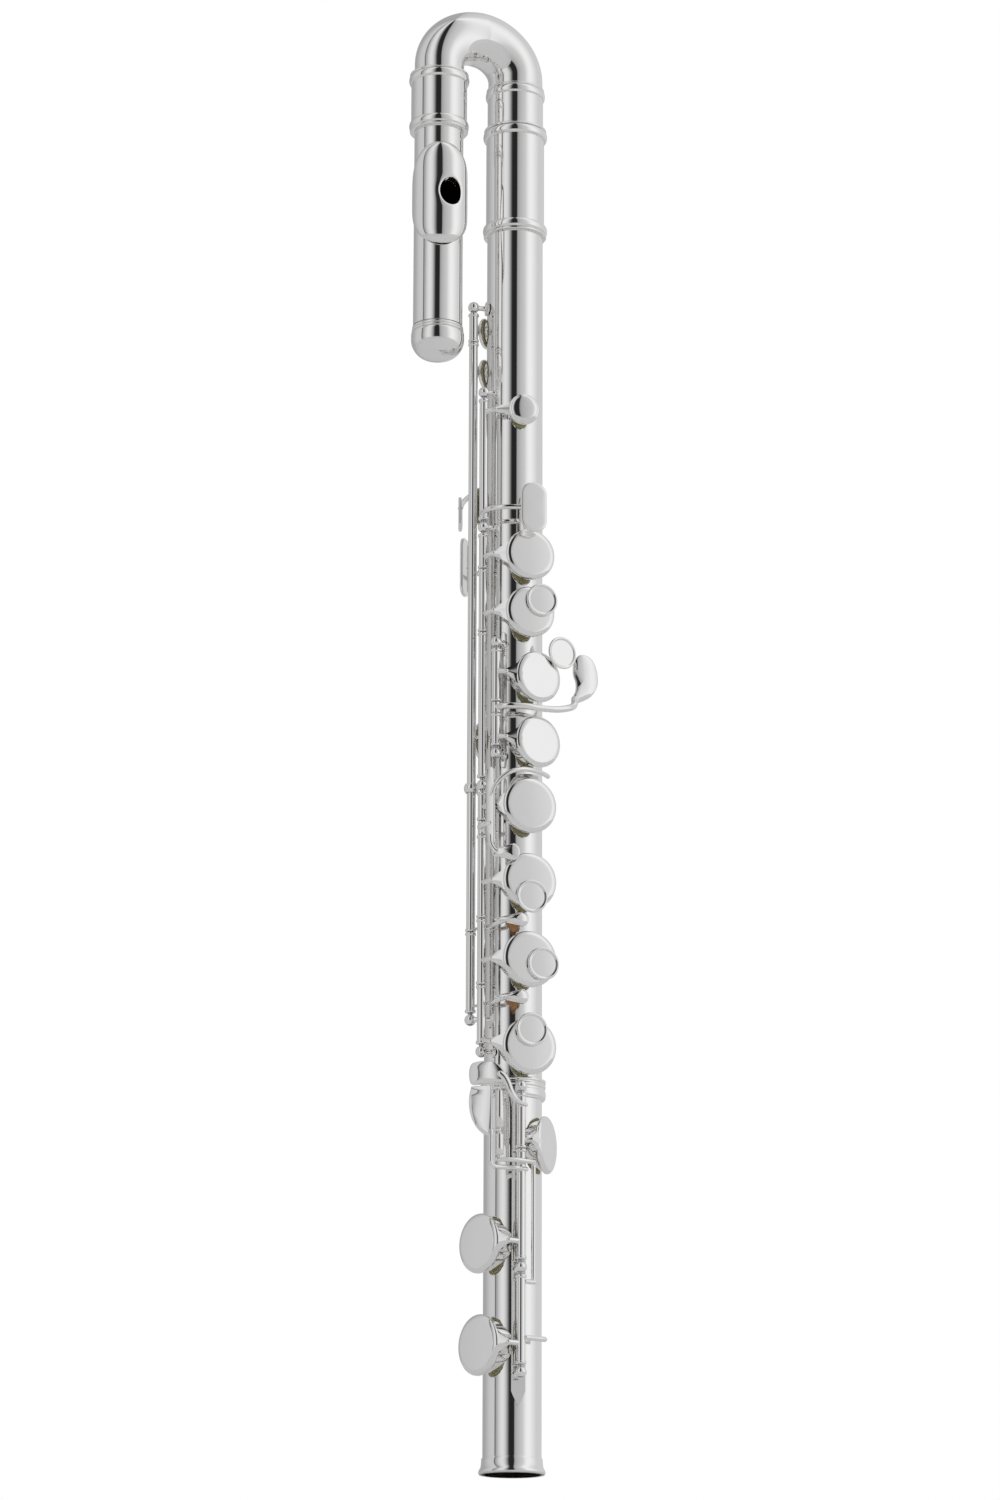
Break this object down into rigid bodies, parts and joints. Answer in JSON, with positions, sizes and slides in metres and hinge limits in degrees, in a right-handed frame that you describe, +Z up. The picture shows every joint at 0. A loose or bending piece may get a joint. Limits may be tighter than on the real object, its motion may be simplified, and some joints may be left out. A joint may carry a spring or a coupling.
{
  "type": "alto flute",
  "caption": "Alto flute with a curved head: plated tubes, cup keys on pivot rods, a foot joint with rollers, a sliding head and a screw stopper.",
  "frame": {"origin": "centre of the open foot end, on the tube's axis", "axes": "+Z up the tube from the foot end to the crook; -Y the way the row of main tone holes faces; -X the side of the pivot rods and of the head's returning leg"},
  "size_m": [0.0934, 0.0528, 0.7109],
  "materials": {
    "tube_plate": "polished silver plate",
    "lip_plate_plate": "polished silver plate",
    "key_plate": "polished silver plate",
    "rib_plate": "polished silver plate",
    "rod_steel": "blued bright steel",
    "pad_skin": "yellow skin over felt",
    "cork": "matt natural cork"
  },
  "bodies": {
    "foot": {"foot_tube": "tube_plate", "foot_end_ring": "tube_plate", "foot_rib": "rib_plate", "foot_pivot_rod": "rod_steel"},
    "body": {"body_tube": "tube_plate", "barrel": "tube_plate", "main_rib": "rib_plate", "g_rib": "rib_plate", "trill_top_post": "rib_plate", "thumb_rib": "rib_plate", "main_pivot_rod": "rod_steel", "thumb_pivot_rod": "rod_steel"},
    "head": {"head_tenon": "tube_plate", "crook_tube": "tube_plate", "leg_sleeve": "tube_plate", "embouchure_tube": "tube_plate", "lip_plate": "lip_plate_plate"},
    "crown": {"crown": "tube_plate"},
    "stopper": {"stopper_screw": "rod_steel", "stopper_cork": "cork"},
    "small_c": {"small_c_key": "key_plate", "small_c_pad": "pad_skin"},
    "a_sharp": {"a_sharp_key": "key_plate", "a_sharp_pad": "pad_skin"},
    "a": {"a_key": "key_plate", "a_pad": "pad_skin"},
    "g_keys": {"g_upper_key": "key_plate", "g_upper_pad": "pad_skin", "g_lower_key": "key_plate", "g_lower_pad": "pad_skin", "g_pivot_rod": "rod_steel"},
    "g_sharp_lever": {"g_sharp_lever": "key_plate"},
    "g_sharp": {"g_sharp_key": "key_plate", "g_sharp_pad": "pad_skin"},
    "f_sharp": {"f_sharp_key": "key_plate", "f_sharp_pad": "pad_skin"},
    "f": {"f_key": "key_plate", "f_pad": "pad_skin"},
    "e": {"e_key": "key_plate", "e_pad": "pad_skin"},
    "d": {"d_key": "key_plate", "d_pad": "pad_skin"},
    "b_flat_side": {"b_flat_side_lever": "key_plate"},
    "b_thumb": {"b_thumb_key": "key_plate", "b_thumb_pad": "pad_skin"},
    "b_flat_thumb": {"b_flat_thumb_lever": "key_plate"},
    "trill_1": {"trill_key_1": "key_plate", "trill_pad_1": "pad_skin", "trill_cork_1": "cork"},
    "trill_2": {"trill_key_2": "key_plate", "trill_pad_2": "pad_skin", "trill_cork_2": "cork"},
    "d_sharp": {"d_sharp_key": "key_plate", "d_sharp_pad": "pad_skin"},
    "c_sharp": {"c_sharp_key": "key_plate", "c_sharp_pad": "pad_skin"},
    "low_c": {"low_c_key": "key_plate", "low_c_pad": "pad_skin"},
    "c_sharp_roller": {"c_sharp_roller": "key_plate"},
    "low_c_roller": {"low_c_roller": "key_plate"}
  },
  "joints": [
    {"name": "foot_turn", "type": "hinge", "parent": "foot", "child": "body", "pos_m": [0, 0, 0.1763], "axis": [0, 0, 1], "range_deg": [-10, 10]},
    {"name": "tuning_slide", "type": "slide", "parent": "body", "child": "head", "axis": [0, 0, 1], "range_m": [0, 0.015]},
    {"name": "crown_turn", "type": "hinge", "parent": "head", "child": "crown", "pos_m": [-0.0425, 0, 0.543], "axis": [0, 0, 1], "range_deg": [-360, 360]},
    {"name": "stopper_slide", "type": "slide", "parent": "head", "child": "stopper", "axis": [0, 0, 1], "range_m": [-0.001, 0.001]},
    {"name": "small_c_close", "type": "hinge", "parent": "body", "child": "small_c", "pos_m": [-0.01909, -0.00399, 0.47875], "axis": [0, 0, 1], "range_deg": [0, 8.2], "stiffness_Nm_per_rad": 0.02, "springref_deg": -17.19},
    {"name": "a_sharp_close", "type": "hinge", "parent": "body", "child": "a_sharp", "pos_m": [-0.01909, -0.00399, 0.4335], "axis": [0, 0, 1], "range_deg": [0, 8.2], "stiffness_Nm_per_rad": 0.02, "springref_deg": -17.19},
    {"name": "a_close", "type": "hinge", "parent": "body", "child": "a", "pos_m": [-0.01909, -0.00399, 0.40925], "axis": [0, 0, 1], "range_deg": [0, 8.2], "stiffness_Nm_per_rad": 0.02, "springref_deg": -17.19},
    {"name": "g_close", "type": "hinge", "parent": "body", "child": "g_keys", "pos_m": [-0.01597, -0.01118, 0.3605], "axis": [0, 0, 1], "range_deg": [0, 8.2], "stiffness_Nm_per_rad": 0.02, "springref_deg": -17.19},
    {"name": "g_sharp_lever_press", "type": "hinge", "parent": "body", "child": "g_sharp_lever", "pos_m": [-0.01597, -0.01118, 0.3555], "axis": [0, 0, 1], "range_deg": [0, 4.25], "stiffness_Nm_per_rad": 0.02, "springref_deg": -5.73},
    {"name": "g_sharp_open", "type": "hinge", "parent": "body", "child": "g_sharp", "pos_m": [-0.01909, -0.00399, 0.3581], "axis": [0, 0, 1], "range_deg": [0, 8.5], "stiffness_Nm_per_rad": 0.02, "springref_deg": -20.05},
    {"name": "f_sharp_close", "type": "hinge", "parent": "body", "child": "f_sharp", "pos_m": [-0.01909, -0.00399, 0.3089], "axis": [0, 0, 1], "range_deg": [0, 8.2], "stiffness_Nm_per_rad": 0.02, "springref_deg": -17.19},
    {"name": "f_close", "type": "hinge", "parent": "body", "child": "f", "pos_m": [-0.01909, -0.00399, 0.27825], "axis": [0, 0, 1], "range_deg": [0, 8.2], "stiffness_Nm_per_rad": 0.02, "springref_deg": -17.19},
    {"name": "e_close", "type": "hinge", "parent": "body", "child": "e", "pos_m": [-0.01909, -0.00399, 0.237], "axis": [0, 0, 1], "range_deg": [0, 8.2], "stiffness_Nm_per_rad": 0.02, "springref_deg": -17.19},
    {"name": "d_close", "type": "hinge", "parent": "body", "child": "d", "pos_m": [-0.01909, -0.00399, 0.2088], "axis": [0, 0, 1], "range_deg": [0, 8.2], "stiffness_Nm_per_rad": 0.02, "springref_deg": -17.19},
    {"name": "b_flat_side_press", "type": "hinge", "parent": "body", "child": "b_flat_side", "pos_m": [-0.01909, -0.00399, 0.2986], "axis": [0, 0, 1], "range_deg": [0, 4], "stiffness_Nm_per_rad": 0.02, "springref_deg": -14.32},
    {"name": "b_thumb_close", "type": "hinge", "parent": "body", "child": "b_thumb", "pos_m": [0.00405, 0.01907, 0.4401], "axis": [0, 0, 1], "range_deg": [0, 8.2], "stiffness_Nm_per_rad": 0.02, "springref_deg": -17.19},
    {"name": "b_flat_thumb_press", "type": "hinge", "parent": "body", "child": "b_flat_thumb", "pos_m": [0.00405, 0.01907, 0.4747], "axis": [0, 0, 1], "range_deg": [0, 4], "stiffness_Nm_per_rad": 0.02, "springref_deg": -14.32},
    {"name": "trill_1_press", "type": "hinge", "parent": "body", "child": "trill_1", "pos_m": [-0.02017, 0.00466, 0.39515], "axis": [0, 0, 1], "range_deg": [0, 8], "stiffness_Nm_per_rad": 0.02, "springref_deg": -20.05},
    {"name": "trill_2_press", "type": "hinge", "parent": "body", "child": "trill_2", "pos_m": [-0.02017, 0.00466, 0.38355], "axis": [0, 0, 1], "range_deg": [0, 8], "stiffness_Nm_per_rad": 0.02, "springref_deg": -20.05},
    {"name": "d_sharp_press", "type": "hinge", "parent": "foot", "child": "d_sharp", "pos_m": [-0.00635, -0.01897, 0.15825], "axis": [0, 0, -1], "range_deg": [0, 8.5], "stiffness_Nm_per_rad": 0.02, "springref_deg": -22.92},
    {"name": "c_sharp_close", "type": "hinge", "parent": "foot", "child": "c_sharp", "pos_m": [-0.00635, -0.01897, 0.1206], "axis": [0, 0, -1], "range_deg": [0, 8.2], "stiffness_Nm_per_rad": 0.02, "springref_deg": -17.19},
    {"name": "low_c_close", "type": "hinge", "parent": "foot", "child": "low_c", "pos_m": [-0.00635, -0.01897, 0.0683], "axis": [0, 0, -1], "range_deg": [0, 8.2], "stiffness_Nm_per_rad": 0.02, "springref_deg": -17.19},
    {"name": "c_sharp_roller_spin", "type": "hinge", "parent": "c_sharp", "child": "c_sharp_roller", "pos_m": [-0.01893, -0.02097, 0.1632], "axis": [0, 0, 1], "continuous": true},
    {"name": "low_c_roller_spin", "type": "hinge", "parent": "low_c", "child": "low_c_roller", "pos_m": [-0.01893, -0.02097, 0.1469], "axis": [0, 0, 1], "continuous": true}
  ],
  "couplings": [
    {"joint": "crown_turn", "follows": "stopper_slide", "rad_per_m": -6283.2},
    {"joint": "a_sharp_close", "follows": "a_close", "ratio": 1},
    {"joint": "f_sharp_close", "follows": "f_close", "ratio": 1},
    {"joint": "g_sharp_open", "follows": "g_sharp_lever_press", "ratio": 2}
  ]
}
